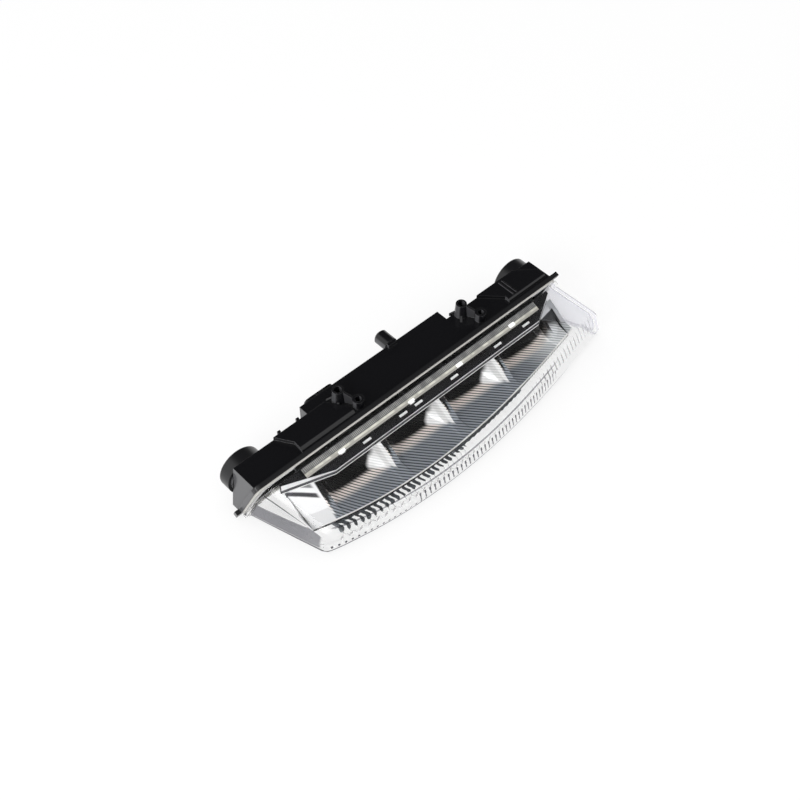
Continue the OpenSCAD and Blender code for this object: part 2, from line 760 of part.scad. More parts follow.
// Front lip of the cover, with a groove along it.
module cover_lip() {
    lip_h = cover_front_z - board_z - gap;
    difference() {
        intersection() {
            translate([0, 0, board_z + gap]) linear_extrude(base_h) difference() {
                cover_plan(0);
                cover_plan(cover_t);
            }
            along_x(cover_end_left, cover_end_right) polygon(concat(cover_line(cover_t / 2),
                [[-joint_ahead - cover_ahead - 1, -base_h], [-joint_ahead - cover_foot, -base_h]]));
        }
        translate([0, 0, board_z + gap + (lip_h - groove_h) / 2]) linear_extrude(groove_h) difference() {
            cover_plan(-1);
            cover_plan(groove_in);
        }
    }
}

module board_cover() color("#3a3c42") {
    intersection() {
        translate([0, 0, -base_h]) linear_extrude(base_h) cover_plan(0);
        along_x(cover_end_left, cover_end_right)
            polygon(concat(cover_line(0), [cover_line(cover_t)[1], cover_line(cover_t)[0]]));
    }
    cover_lip();
    for (x = tab_x) along_x(x - tab_l / 2, x + tab_l / 2) polygon([
        cover_at(tab_ahead, tab_h), cover_at(tab_ahead + tab_w, tab_h),
        cover_at(tab_ahead + tab_w, -cover_t / 2), cover_at(tab_ahead, -cover_t / 2)
    ]);
    translate([cover_x0, -joint_ahead - cover_foot - cover_t, plate_top])
        cube([cover_x1 - cover_x0, cover_t, cover_back_z - cover_t / 2 - plate_top - cover_slope * cover_t]);
    for (i = [0:bowls - 1]) difference() {
        translate([bowl_x(i) - 4, -joint_ahead - cover_foot - cover_t, plate_top])
            cube([8, post_y + joint_ahead + cover_foot + cover_t + 4, lug_t]);
        translate([bowl_x(i), post_y, plate_top - 1])
            cylinder(r = screw_r + gap, h = lug_t + 2, $fn = fine);
    }
}

plate_x0 = ear_x[0] - 3.5;
plate_x1 = ear_x[bowls] + 3.5;
plate_back = -14;
plate_lip = 7;
plate_lip_h = 5;
plate_end = 3.9;

// Plan of a plate under the cover: front and rear edges ahead of the joint, inset at its ends.
module plate_plan(front, rear, inset) {
    y = -joint_ahead;
    x0 = plate_x0 + inset;
    x1 = plate_x1 - inset;
    polygon([
        [x0, y - rear], [x0, y - cover_edge(x0) + plate_end], [cover_x0, y - front],
        [cover_x1, y - front], [x1, y - cover_edge(x1) + plate_end], [x1, y - rear]
    ]);
}

module heat_sink() color("#b9bcc1") difference() {
    union() {
        translate([0, 0, plate_top - plate_t]) linear_extrude(plate_t)
            plate_plan(plate_ahead, plate_back, 0);
        for (x = [plate_x0, plate_x1 - plate_lip])
            translate([x, -joint_ahead - plate_back - plate_t, plate_top - plate_t])
                cube([plate_lip, plate_t, plate_t + plate_lip_h]);
    }
    for (i = [0:bowls - 1]) translate([bowl_x(i), post_y, plate_top - plate_t - 1])
        cylinder(r = screw_r + gap, h = plate_t + 2, $fn = fine);
    for (x = ear_x) translate([x, board_screw_y, plate_top - plate_t - 1])
        cylinder(r = screw_r + eps, h = plate_t + 2, $fn = fine);
}

led_ahead = 4;
board_back = -6;
board_ahead = 8.4;
board_screw_y = -joint_ahead - 1;
head_h = 1.6;
head_r = 2.5;
head_edge = 0.6;
slot_w = 0.6;
slot_h = 0.8;
plate_screw_in = 4.5;
driver_screw_in = 2;

module led_board() color("#e8e8e4") difference() {
    translate([0, 0, board_z]) linear_extrude(board_t) plate_plan(board_ahead, board_back, 1);
    for (x = ear_x) translate([x, board_screw_y, board_z - 1])
        cylinder(r = screw_r + gap, h = board_t + 2, $fn = fine);
}

module led(i) color("#f4e27a") {
    translate([bowl_x(i) - led_w / 2, -joint_ahead - led_ahead - led_w / 2, board_z - led_h / 2])
        cube([led_w, led_w, led_h / 2]);
    translate([bowl_x(i), -joint_ahead - led_ahead, board_z - led_h])
        cylinder(r1 = led_w / 2 - 1, r2 = led_w / 2 - 0.6, h = led_h / 2 + eps, $fn = fine);
}

// Pan-head screw that points up from z = 0 under its head.
module screw(length) {
    cylinder(r = screw_r, h = length, $fn = fine);
    difference() {
        translate([0, 0, -head_h]) cylinder(r1 = head_r - head_edge, r2 = head_r, h = head_h, $fn = fine);
        translate([-head_r, -slot_w / 2, -head_h - eps]) cube([2 * head_r, slot_w, slot_h]);
    }
}

module plate_screws() color("#8f9298") {
    for (i = [0:bowls - 1]) translate([bowl_x(i), post_y, plate_top - plate_t])
        screw(plate_t + lug_t + plate_screw_in);
}

module board_screws() color("#8f9298") {
    for (x = ear_x) translate([x, board_screw_y, board_z - ear_t]) screw(ear_t + board_t + plate_t);
}

// Flat lead from the driver board forward and up to the back of the light board.
link_x = -28;
link_w = 12;
link_t = 0.8;
link_drop = 2;

module board_link() color("#c9b37a") along_x(link_x - link_w / 2, link_x + link_w / 2) {
    y0 = driver_y;
    y1 = -joint_ahead - board_back - 0.1;
    z = board_z - link_drop;
    polygon([[y0, z], [y0, z + link_t], [y1, z + link_t], [y1, board_z], [y1 - 1.5, board_z], [y1 - 1.5, z]]);
}

// DRIVER

module driver_board() color("#1f6b3a") difference() {
    translate([driver_x0, driver_y, driver_z0]) cube([driver_x1 - driver_x0, board_t, driver_z1 - driver_z0]);
    for (x = standoff_x, z = standoff_z) facing_back(x, driver_y - 1, z)
        cylinder(r = screw_r + gap, h = board_t + 2, $fn = fine);
}

module driver_screws() color("#8f9298") {
    for (x = standoff_x, z = standoff_z) facing_back(x, driver_y, z) screw(board_t + driver_screw_in);
}

coil_r = 5;
coil_h = 5;
coil_x = 2;
module driver_coil() color("#2b2b2e") translate([coil_x, driver_y, driver_z0 + coil_r]) rotate([90, 0, 0]) {
    cylinder(r = coil_r, h = 1, $fn = fine);
    cylinder(r = coil_r - 1, h = coil_h, $fn = fine);
    translate([0, 0, coil_h - 1]) cylinder(r = coil_r, h = 1, $fn = fine);
}

cap_can_r = 4;
cap_can_h = 5.4;
cap_can_x = -12;
module driver_capacitor() color("#a9adb3")
translate([cap_can_x, driver_y, driver_z0 + cap_can_r + 1]) rotate([90, 0, 0]) {
    translate([-cap_can_r, -cap_can_r, 0]) cube([2 * cap_can_r, 2 * cap_can_r, 0.8]);
    cylinder(r = cap_can_r, h = cap_can_h, $fn = fine);
}

// Chips on the driver board: middle, width, height and thickness.
chip_up = driver_z1 - 6;
chip_low = driver_z0 + 4;
chips = [
    [driver_x0 + 25.5, chip_up, 5, 4, 1.6], [driver_x0 + 28, chip_low, 7, 5, 1.8],
    [driver_x0 + 19.5, chip_low, 4, 3, 1.2], [driver_x1 - 13.5, chip_up, 4, 4, 1.5]
];
module driver_chips() color("#18181a") {
    for (c = chips) translate([c[0] - c[2] / 2, driver_y - c[4], c[1] - c[3] / 2]) cube([c[2], c[4], c[3]]);
}

// Blades that run from the driver board through the rear wall into the socket.
module connector_contacts() color("#c8a64b") {
    for (i = [0:contacts - 1]) along_y(driver_y + board_t, box_back + socket_depth - 4.5)
        polygon(plate_outline(blade_x(i), socket_z, blade_w, blade_t));
}

// VENT

vent_cap_r = vent_r + gap + 1.6;
vent_cap_out = 5.4;
membrane_t = 0.4;

module vent_cap() color("#26272b") facing_back(vent_x, box_back + 0.3, vent_z) difference() {
    union() {
        cylinder(r = vent_cap_r, h = vent_cap_out - 1, $fn = fine);
        translate([0, 0, vent_cap_out - 1 - eps])
            cylinder(r1 = vent_cap_r, r2 = vent_cap_r - 1, h = 1 + eps, $fn = fine);
    }
    translate([0, 0, -1]) cylinder(r = vent_r + gap / 2, h = vent_out - 0.3 + membrane_t + 1, $fn = fine);
    for (a = [0, 90]) rotate([0, 0, a]) translate([-vent_cap_r - 1, -0.6, -1])
        cube([2 * vent_cap_r + 2, 1.2, 1.8]);
}

module vent_membrane() color("white") facing_back(vent_x, box_back + vent_out, vent_z)
    cylinder(r = vent_r, h = membrane_t, $fn = fine);

// END CAPS

cap_round = 1.2;

module rear_cap(x) color("#1a1b1e") facing_back(x, deck_back + 0.3, -cap_drop) rotate_extrude($fn = 96) {
    h = cap_out - 0.3;
    polygon(concat(
        [[0, h - cap_wall], [0, h]],
        [for (a = [0:22.5:90]) [cap_r - cap_round, h - cap_round] + cap_round * [sin(a), cos(a)]],
        [[cap_r, 0], [cap_r - cap_wall, 0], [cap_r - cap_wall, h - cap_wall]]
    ));
}

module cap_seal(x) color("#3b2f2a") facing_back(x, deck_back + collar_out, -cap_drop)
    ring(collar_r, collar_r - collar_wall + 0.4, seal_t);

housing();
lens();
lens_bead();
reflector();
board_cover();
heat_sink();
led_board();
led(0);  // led_1
led(1);  // led_2
led(2);  // led_3
led(3);  // led_4
plate_screws();
board_screws();
board_link();
driver_board();
driver_coil();
driver_capacitor();
driver_chips();
driver_screws();
connector_contacts();
vent_cap();
vent_membrane();
rear_cap(cap_left_x);  // rear_cap_left
rear_cap(cap_right_x);  // rear_cap_right
cap_seal(cap_left_x);  // cap_seal_left
cap_seal(cap_right_x);  // cap_seal_right
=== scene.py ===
"""Looks of the daytime running light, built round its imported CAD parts."""

import math
from types import SimpleNamespace

import bmesh
import bpy
from mathutils import Matrix, Vector


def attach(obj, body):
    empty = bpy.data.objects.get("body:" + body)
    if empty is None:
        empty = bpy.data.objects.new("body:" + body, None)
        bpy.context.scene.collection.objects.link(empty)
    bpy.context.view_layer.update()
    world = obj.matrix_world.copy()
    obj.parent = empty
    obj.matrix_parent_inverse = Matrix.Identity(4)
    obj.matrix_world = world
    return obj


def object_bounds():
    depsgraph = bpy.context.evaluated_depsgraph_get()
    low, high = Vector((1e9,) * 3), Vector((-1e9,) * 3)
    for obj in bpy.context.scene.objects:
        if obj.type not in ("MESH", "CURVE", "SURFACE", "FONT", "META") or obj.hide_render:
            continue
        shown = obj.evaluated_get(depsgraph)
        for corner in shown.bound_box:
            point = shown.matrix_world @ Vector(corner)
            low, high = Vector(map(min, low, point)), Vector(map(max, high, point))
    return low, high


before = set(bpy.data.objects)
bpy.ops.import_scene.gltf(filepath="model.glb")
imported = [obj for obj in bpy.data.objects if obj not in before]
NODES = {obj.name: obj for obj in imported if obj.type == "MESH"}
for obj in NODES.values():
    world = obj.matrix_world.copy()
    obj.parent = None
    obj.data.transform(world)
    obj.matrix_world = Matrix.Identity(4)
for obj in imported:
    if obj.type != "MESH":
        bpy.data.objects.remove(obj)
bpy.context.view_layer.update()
MM = 0.001

# Sizes of the part that the materials follow, in millimetres.
# "Ahead" is the distance in front of the lens joint, measured at deck height.
JOINT_AHEAD = 7.8
LEAN = math.radians(22.5)
TOP_FALL = 0.414
FOOT = -34.0

NOSE_LEFT = 25.6
LENS_REACH = 55.2
BOW_R = 370.0
BOW_SKEW = 2.93e-6
NOSE_TOP = -21.2
NOSE_SLOPE = 4.0

END_SLANT = 0.3057
LEFT_WALL = -131.5
RIGHT_WALL = 108.5
RIGHT_TILT = 0.1412

BAND_LEFT, BAND_RIGHT = -105.5, 86.5
BAND_BACK = 3.8
BAND_W = 6.6

BOWL_PITCH = 48.0
BOWLS_LEFT = 4.5
RIM_GAP = 14.3


class Num:
    """A number in a node tree, so that the formulas of a material read as formulas."""

    def __init__(self, shader, socket):
        self.shader, self.socket = shader, socket

    def op(self, operation, other=0.0, swap=False):
        pair = (other, self) if swap else (self, other)
        return self.shader.math(operation, *pair)

    def __add__(self, other):
        return self.op("ADD", other)

    def __sub__(self, other):
        return self.op("SUBTRACT", other)

    def __rsub__(self, other):
        return self.op("SUBTRACT", other, swap=True)

    def __mul__(self, other):
        return self.op("MULTIPLY", other)

    def __truediv__(self, other):
        return self.op("DIVIDE", other)

    def __pow__(self, other):
        return self.op("POWER", other)

    __radd__, __rmul__ = __add__, __mul__

    def step(self, low, high):
        """0 at low and 1 at high, smooth between them."""
        return self.shader.step(self, low, high)

    def span(self, low, high, soft):
        """1 between low and high, 0 outside."""
        return self.step(low - soft, low + soft) * self.step(high + soft, high - soft)


class Shader:
    """A node tree with short ways to add nodes and link them."""

    def __init__(self, tree):
        self.tree = tree
        self.tree.nodes.clear()

    def add(self, kind, inputs=(), **settings):
        node = self.tree.nodes.new(kind)
        for k, v in settings.items():
            setattr(node, k, v)
        for k, v in dict(inputs).items():
            self.put(node.inputs[k], v)
        return node

    def put(self, socket, value):
        """Link a number, an output or a node to the socket, or set its value."""
        if isinstance(value, Num):
            self.tree.links.new(value.socket, socket)
        elif isinstance(value, bpy.types.NodeSocket):
            self.tree.links.new(value, socket)
        elif isinstance(value, bpy.types.Node):
            self.tree.links.new(value.outputs[0], socket)
        else:
            socket.default_value = value

    def math(self, operation, a, b=0.0):
        return Num(self, self.add("ShaderNodeMath", {0: a, 1: b}, operation=operation).outputs[0])

    def larger(self, a, b):
        return self.math("MAXIMUM", a, b)

    def ripple(self, value, half):
        """0 at each even multiple of half, 1 at each odd one."""
        return self.math("PINGPONG", value, half) / half

    def step(self, value, low, high):
        bounds = {"Value": value, "From Min": low, "From Max": high}
        return Num(self, self.add("ShaderNodeMapRange", bounds, interpolation_type="SMOOTHSTEP").outputs[0])

    def axes(self, vector):
        """The three parts of a vector."""
        parts = self.add("ShaderNodeSeparateXYZ", {0: vector})
        return [Num(self, parts.outputs[i]) for i in range(3)]

    def place(self):
        """The three coordinates of the part in millimetres."""
        metres = self.add("ShaderNodeTexCoord").outputs["Object"]
        return self.axes(self.add("ShaderNodeVectorMath", {0: metres, "Scale": 1 / MM}, operation="SCALE"))

    def facing(self):
        """The three parts of the surface normal."""
        return self.axes(self.add("ShaderNodeTexCoord").outputs["Normal"])

    def blend(self, factor, a, b):
        """Colour a where the factor is 0, colour b where it is 1."""
        node = self.add("ShaderNodeMix", {0: factor}, data_type="RGBA")
        for socket, value in ((node.inputs[6], a), (node.inputs[7], b)):
            self.put(socket, (*value, 1) if isinstance(value, tuple) else value)
        return node.outputs[2]

    def layers(self, tone, *covers):
        """The tone with each cover, a mask and a colour, laid over it in turn."""
        for mask, color in covers:
            tone = self.blend(mask, tone, color)
        return tone

    def noise(self, scale):
        metres = self.add("ShaderNodeTexCoord").outputs["Object"]
        settings = {"Vector": metres, "Scale": scale, "Detail": 2.0}
        return Num(self, self.add("ShaderNodeTexNoise", settings).outputs[0])


def material(name, color, roughness, metallic=0.0, **constants):
    """A principled material; returns it with its shader and its principled node."""
    mat = bpy.data.materials.new(name)
    mat.use_nodes = True
    s = Shader(mat.node_tree)
    basics = {"Base Color": (*color, 1), "Roughness": roughness, "Metallic": metallic}
    bsdf = s.add("ShaderNodeBsdfPrincipled", basics)
    for k, v in constants.items():
        bsdf.inputs[k.replace("_", " ")].default_value = v
    s.out = s.add("ShaderNodeOutputMaterial", {"Surface": bsdf})
    return mat, s, bsdf


def paint(obj, mat):
    obj.data.materials.clear()
    obj.data.materials.append(mat)


def relief(s, bsdf, height, depth, edge=0.0):
    """Bump of a height, over the rounded look of sharp edges; depth and edge are in millimetres."""
    bump = s.add("ShaderNodeBump", {"Height": height, "Distance": depth * MM, "Strength": 1.0})
    if edge:
        s.put(bump.inputs["Normal"], s.add("ShaderNodeBevel", {"Radius": edge * MM}, samples=6))
    s.put(bsdf.inputs["Normal"], bump)


def ahead(y):
    """Distance ahead of the lens joint, at deck height."""
    return -JOINT_AHEAD - y


def off_joint(y, z):
    """Distance in front of the leaning joint plane, and distance down along it."""
    f = ahead(y)
    return f * math.cos(LEAN) - z * math.sin(LEAN), f * -math.sin(LEAN) - z * math.cos(LEAN)


def nose(x):
    """Reach of the lens nose ahead of the joint."""
    dx = x + NOSE_LEFT
    return LENS_REACH - dx * dx / (2 * BOW_R) + dx * dx * dx * BOW_SKEW


# BLACK MOULDINGS

HOUSING_BLACK = (0.004, 0.004, 0.005)
END_GREY = (0.075, 0.075, 0.08)
CAP_BLACK = (0.006, 0.006, 0.007)


def black_mouldings():
    """Glossy black plastic. The housing's left end is painted greyer, for the light it mirrors in the photo."""
    black, s, bsdf = material("black_plastic", HOUSING_BLACK, 0.2, IOR=1.5, Specular_IOR_Level=0.5)
    left_end = s.facing()[0].step(-0.8, -0.95)
    s.put(bsdf.inputs["Base Color"], s.blend(left_end, HOUSING_BLACK, END_GREY))
    relief(s, bsdf, s.noise(900.0), 0.012, edge=0.45)
    paint(NODES["housing"], black)

    caps, s, bsdf = material("cap_plastic", CAP_BLACK, 0.3, IOR=1.5)
    relief(s, bsdf, s.noise(1400.0), 0.012, edge=0.3)
    for name in ("rear_cap_left", "rear_cap_right", "vent_cap"):
        paint(NODES[name], caps)


# CLEAR LENS
# Clear plastic that hardly bends light: its IOR is far below real plastic's 1.5 or so. The foil, and what the
# flutes and edges show by refraction in the photo, are laid over it as paints, each a mask and a colour.

BEAD_DARK = (0.06, 0.06, 0.06)
FOIL_GAP = (0.05, 0.05, 0.055)
FOIL_GROOVE = (0.09, 0.09, 0.09)
FOIL_DULL, FOIL_BRIGHT = (0.17, 0.17, 0.17), (0.33, 0.33, 0.32)
CREAM_DULL, CREAM_BRIGHT = (0.40, 0.39, 0.35), (0.66, 0.65, 0.58)
CREAM_LINE = (0.12, 0.12, 0.12)
FOIL_FRONT = (0.34, 0.33, 0.30)
BLOB_WHITE = (1.0, 1.0, 0.98)
BLOBS = ((-79.0, 9.2), (-24.2, 9.5), (16.6, 8.4), (63.5, 7.8))  # x, and ahead of the joint
FOIL_RIB = 0.55  # half of the ribs' pitch

# Painted shade, for what the flutes and their edges show by refraction.
HOOK_DARK = (0.04, 0.046, 0.052)
DOT_DARK = (0.07, 0.07, 0.08)
UPPER_LINE, LOWER_LINE = (0.2, 0.2, 0.22), (0.1, 0.1, 0.12)

# Flutes passed at x are gain x² + density x + start, so they get narrower towards the right.
FLOOR_FLUTES = (3.1e-4, 0.2876, 25.37)
NOSE_FLUTES = (2.89e-4, 0.3005, 14.985)

# Painted shade on the clear end walls: a grey band, lines, and the right wall's pale grey.
WALL_GREY = (0.15, 0.15, 0.165)
WALL_LINE, WALL_LINE_2 = (0.05, 0.05, 0.055), (0.08, 0.08, 0.085)
WALL_FOOT = (0.1, 0.1, 0.11)
WALL_LINE_FALL, WALL_LINE_TOP = 0.375, -4.3
BROW_DARK = (0.02, 0.02, 0.024)
WALL_PALE_SHADE = (0.84, 0.84, 0.9)


def lens_place(s):
    """A place on the lens: x and z, f ahead of the joint, w off the joint plane and d down along it,
    the nose's reach at x, and u back from the nose."""
    x, y, z = s.place()
    f = ahead(y)
    w, d = off_joint(y, z)
    reach = nose(x)
    return SimpleNamespace(x=x, z=z, f=f, w=w, d=d, reach=reach, u=reach - f)


def flutes_passed(x, flutes):
    gain, density, start = flutes
    return x * x * gain + x * density + start


def foil(s, at):
    """Ribbed grey foil with a cream edge on the top band, a bright blob over each light, and a dark
    paint laid over the bead in the joint."""
    row = (at.w - BAND_BACK) / BAND_W
    on_top = at.d.step(0.4, 0.2)
    uneven = s.noise(180.0).step(0.35, 0.65)
    ribs = s.blend(uneven, FOIL_DULL, FOIL_BRIGHT)
    tone = s.layers(
        s.blend(s.ripple(at.x, FOIL_RIB).step(0.2, 0.8), FOIL_GROOVE, ribs),
        (row.step(0.12, 0.06), FOIL_GAP),
        (row.step(0.55, 0.60), s.blend(uneven, CREAM_DULL, CREAM_BRIGHT)),
        (row.step(0.78, 0.82), FOIL_FRONT),
        (row.span(0.53, 0.60, 0.02), CREAM_LINE),
    )
    on_band = at.x.span(BAND_LEFT, BAND_RIGHT, 0.05) * at.w.span(BAND_BACK + 0.3, BAND_BACK + BAND_W, 0.1)
    by_joint = at.w.span(-8.0, -0.9, 0.1) * at.d.step(3.0, 2.5)
    paints = [(on_band * on_top * 0.95, tone), (by_joint * 0.7, BEAD_DARK)]
    for x0, f0 in BLOBS:
        blob = at.x.span(x0 - 1.7, x0 + 1.7, 0.9) * at.f.span(f0 - 0.7, f0 + 0.9, 0.4)
        paints.append((blob * on_top, BLOB_WHITE))
    return paints


def floor_prisms(s, at):
    """Dark wavy hooks inside the floor below the reflector's rim, on a band that runs out into a line: painted
    shade, for what the floor's flutes show by refraction.
    """
    x, u = at.x, at.u
    sway = s.math("SINE", u * 0.9) * 0.12
    from_middle = s.math("PINGPONG", flutes_passed(x, FLOOR_FLUTES) + sway, 0.5)
    tip = s.larger((x + 85) * 0.048, 0.0) + 9.3
    half_width = s.math("SQRT", s.math("MINIMUM", s.larger(u - tip, 0.0), 1.0)) * 0.27
    before_root = u.step(19.5, 18.5)
    hooks = (half_width - from_middle).step(-0.03, 0.05) * before_root * x.step(-8.0, -14.0)
    band_start = (x + 100) * 0.04 + 15.0
    band = u.step(band_start, band_start + 0.6) * before_root * x.step(-45.0, -60.0)
    line = u.span(15.0, 16.4, 0.2) * x.span(-16.0, 45.0, 3.0)
    inside = at.z.span(-32.7, -29.6, 0.05) * u.step(3.2, 3.4) * x.step(-105.0, -102.0)
    return [(s.larger(s.larger(hooks, band), line) * inside * 0.92, HOOK_DARK)]


def nose_flutes(s, at):
    """Dots with faint streaks below them, small dots at the left, and thin lines along both edges: painted
    shade, for what the nose's flutes and edges show by refraction.
    """
    x = at.x
    top = (LENS_REACH - at.reach) * TOP_FALL + NOSE_TOP
    down = (top - at.z) / (top - FOOT)
    under_face = at.u - (1 - down) * NOSE_SLOPE
    skin = under_face.step(1.2, 0.9)
    from_middle = s.math("PINGPONG", flutes_passed(x, NOSE_FLUTES), 0.5)
    dots = from_middle.step(0.19, 0.12) * down.span(0.26, 0.37, 0.03)
    streaks = from_middle.step(0.13, 0.06) * down.span(0.38, 0.6, 0.04) * 0.25
    small = from_middle.step(0.16, 0.1) * down.span(0.66, 0.74, 0.02) * x.step(-50.0, -58.0) * 0.8
    fades = x.step(75.0, 30.0)
    large = s.larger(dots, streaks) * x.step(-60.0, -50.0) * fades * 0.8
    upper = down.span(-0.012, 0.012, 0.012) * skin * (x.step(-60.0, -20.0) * 0.6 + 0.05) * fades
    lower = at.z.span(-32.9, -31.6, 0.2) * under_face.step(2.4, 2.0)
    lower = lower * (x.step(-10.0, -60.0) * 0.6 + 0.2) * x.step(90.0, 40.0)
    return [
        (s.larger(large, small) * skin * down.step(-0.06, -0.02), DOT_DARK),
        (upper, UPPER_LINE),
        (lower, LOWER_LINE),
    ]


def end_walls(s, at):
    """Left wall: a grey band, two dark lines below its top and one at its foot. Right wall: a dark line
    along its top and a pale grey shade inside. All are painted shade, for what the clear walls show."""
    f, z = at.f, at.z
    left = at.x - f * END_SLANT - LEFT_WALL
    on_left = left.span(-1.5, 1.4, 0.1) * f.step(45.0, 40.0)
    over_line = z + f * WALL_LINE_FALL - WALL_LINE_TOP
    right = f * END_SLANT + RIGHT_WALL - z * RIGHT_TILT - at.x
    near_top = (z + f * TOP_FALL).step(-2.6, -2.2)
    brow = right.span(-3.0, 2.6, 0.1) * near_top * s.facing()[0].step(0.1, 0.25)
    return [
        (on_left * z.span(-30.5, -18.0, 0.8) * f.step(38.0, 18.0) * 0.5, WALL_GREY),
        (on_left * over_line.span(-0.35, 0.35, 0.1) * 0.85, WALL_LINE),
        (on_left * over_line.span(-2.3, -1.8, 0.1) * 0.7, WALL_LINE_2),
        (on_left * z.span(-32.9, -31.5, 0.2) * 0.8, WALL_FOOT),
        (brow * f.step(4.0, 10.0) * 0.9, BROW_DARK),
        (right.span(1.8, 4.2, 0.2) * 0.3, WALL_PALE_SHADE),
    ]


def clear_lens():
    clear, s, bsdf = material(
        "clear_plastic", (1, 1, 1), 0.0, IOR=1.045, Coat_Weight=0.3, Coat_Roughness=0.03)
    at = lens_place(s)
    tone, clear_share = (1, 1, 1), 1
    for amount, color in foil(s, at) + floor_prisms(s, at) + nose_flutes(s, at) + end_walls(s, at):
        tone = s.blend(amount.step(0.0, 0.02), tone, color)
        clear_share = (1 - amount) * clear_share
    s.put(bsdf.inputs["Base Color"], tone)
    s.put(bsdf.inputs["Transmission Weight"], clear_share)
    s.put(bsdf.inputs["Roughness"], (1 - clear_share) * 0.4)
    paint(NODES["lens"], clear)


# REFLECTOR
# Mostly a painted surface and hardly a mirror. The dark backs, pale ridges and fins, pane and streaks are
# reflections in the photo, laid on here as fixed tones.

# Every tone below is a painted reflection, the grey fronts and the rim's bright line and dark face included.
BACK_DARK, BACK_GROOVE = (0.006, 0.006, 0.007), (0.016, 0.015, 0.014)
FRONT_GREY, FRONT_GROOVE = (0.36, 0.39, 0.43), (0.05, 0.056, 0.064)
RIGHT_PALE, RIGHT_GROOVE = (0.85, 0.87, 0.88), (0.4, 0.42, 0.44)
RIDGE_HIGHLIGHT = (1.0, 0.92, 0.86)
FIN_WHITE, FIN_LINE = (1.0, 1.0, 1.0), (0.25, 0.25, 0.26)
PALE_SURROUND_REFLECTION, DARK_PATCH_REFLECTION = (0.66, 0.67, 0.69), (0.05, 0.052, 0.056)
LEFT_WHITE, STREAK_DARK = (0.95, 0.95, 0.96), (0.06, 0.06, 0.065)
RIM_WHITE, RIM_DARK = (0.97, 0.97, 0.96), (0.02, 0.02, 0.024)
FIN_TOP, FIN_DROP, FIN_SIDE, FIN_FLARE = -14.0, 11.5, 19.5, 6.0
RIDGE_AHEAD = 17.5
RIB_PITCH = 1.6
# The ribs are laid out in the photo's picture: these are its rightward and upward directions, which are the
# camera's axes below, written in the part's axes. So the ribs curve when seen from other sides.
RIB_ALONG = (0.7319, -0.6814)
RIB_ACROSS = (0.5298, 0.5691, 0.6289)
RIM_DOT = 0.9  # half of the dots' pitch


def rib_lines(s, x, y, z, ridge):
    """1 in the grooves between the ribs, which fan out at the left; thinner on the ridge."""
    along = x * RIB_ALONG[0] + y * RIB_ALONG[1]
    across = x * RIB_ACROSS[0] + y * RIB_ACROSS[1] + z * RIB_ACROSS[2]
    fan = across + along * 0.08 - s.larger(10.0 - along, 0.0) ** 3.0 * 2.33e-5
    wave = s.math("SINE", fan * (2 * math.pi / RIB_PITCH)) * 0.5 + 0.5
    return wave.step(ridge * 0.25 + 0.3, 0.95)


def bowls(s, x, y, z):
    """The grooves and the tone of the ribbed bowls, dark at the back and grey in front with a bright
    ridge between, and of the bright fins, which widen towards their feet. All are painted reflections."""
    f = ahead(y)
    side = (s.math("FRACT", (x + (BOWLS_LEFT + 2 * BOWL_PITCH)) / BOWL_PITCH) - 0.5) * BOWL_PITCH
    left_of_last = x.step(62.0, 58.0)
    bound = FIN_SIDE - s.larger((FIN_TOP - z) / FIN_DROP, 0.0) ** 2.5 * FIN_FLARE
    fin = side.step(bound - 1.5, bound + 0.5) * side.step(23.5, 23.2)
    fin = fin * (f - side * 1.1).step(4.2, 1.2) * left_of_last
    flank = side.step(-22.0, -22.8) * f.step(24.0, 19.0) * left_of_last
    past = f + side * -0.07 + x * 0.02 - RIDGE_AHEAD
    ridge = past.step(-4.5, -1.0) * past.step(6.5, 1.0) * side.step(-21.5, -19.0) * x.step(90.0, 80.0)
    front = past.step(-1.0, 4.0) * (1 - flank)
    lines = rib_lines(s, x, y, z, ridge)
    to_right = x.step(60.0, 88.0)
    tone = s.layers(
        s.blend(front, BACK_DARK, s.blend(to_right, FRONT_GREY, RIGHT_PALE)),
        (ridge, RIDGE_HIGHLIGHT),
        (lines, s.blend(front, BACK_GROOVE, s.blend(to_right, FRONT_GROOVE, RIGHT_GROOVE))),
        (fin, s.blend(lines * 0.3, FIN_WHITE, FIN_LINE)),
    )
    return lines, tone


def reflector_ends(s, x, f, tone):
    """Painted reflections: a dark patch in a pale surround at the right, and a bright left end with two
    dark streaks.
    """
    behind_slant = (f - x * 0.318).step(-16.7, -17.1)
    dark_patch = (f + x * 0.25).step(32.9, 33.3) * behind_slant * x.span(81.0, 103.0, 0.3)
    left_end = (x + (f - 12) * 0.1 + 101.0).step(0.6, -0.6)
    sloping = f - (x + 118.0) * 0.75
    streaks = s.larger(sloping.span(2.4, 5.0, 0.5), sloping.span(-3.6, -0.6, 0.5) * 0.8)
    return s.layers(
        tone,
        (x.step(88.0, 90.0) * behind_slant, PALE_SURROUND_REFLECTION),
        (dark_patch, DARK_PATCH_REFLECTION),
        (left_end, LEFT_WHITE),
        (left_end * streaks * x.span(-119.5, -103.0, 1.0), STREAK_DARK),
    )


def reflector_rim(s, x, f, tone):
    """Painted reflections: a bright line, and a dark face below it that breaks up into dots at the right."""
    rim = nose(x) - RIM_GAP
    dots = s.larger(s.ripple(x, RIM_DOT).step(0.35, 0.5), x.step(60.0, 50.0))
    face = s.facing()[1].step(-0.6, -0.8) * f.step(rim - 0.6, rim - 0.3)
    return s.layers(tone, (f.step(rim - 1.1, rim - 0.9), RIM_WHITE), (face * dots, RIM_DARK))


